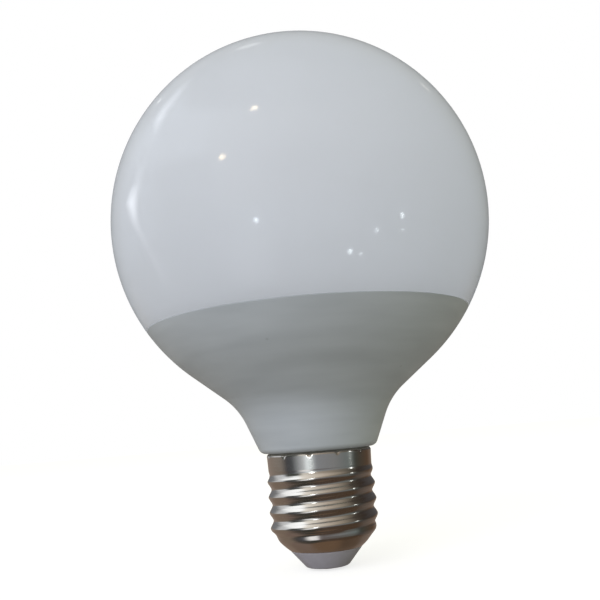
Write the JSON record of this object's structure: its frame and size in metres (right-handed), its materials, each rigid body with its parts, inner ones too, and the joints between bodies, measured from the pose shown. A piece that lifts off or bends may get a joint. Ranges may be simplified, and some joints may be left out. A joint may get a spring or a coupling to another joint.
{
  "type": "led globe bulb",
  "caption": "Lamp with an opal ball on a grey moulded housing whose concave neck ends in a nickel-plated screw cap with a right-hand thread, an insulated tip and a centre contact.",
  "frame": {"origin": "middle of the centre contact's face, on the lamp's axis", "axes": "+Z along the axis from the contact to the top of the globe; the picture looks along +Y with +X to the right"},
  "size_m": [0.095, 0.095, 0.1323],
  "materials": {
    "opal_polycarbonate": "opal moulded plastic with a polished outer face",
    "grey_white_moulding": "satin moulded plastic",
    "nickel_plate": "bright nickel plate on a drawn and rolled shell",
    "grey_insulator": "plain moulded plastic"
  },
  "bodies": {
    "root": {"globe_diffuser": "opal_polycarbonate", "housing": "grey_white_moulding", "screw_cap": "nickel_plate", "cap_insulator": "grey_insulator", "centre_contact": "nickel_plate"}
  },
  "joints": []
}
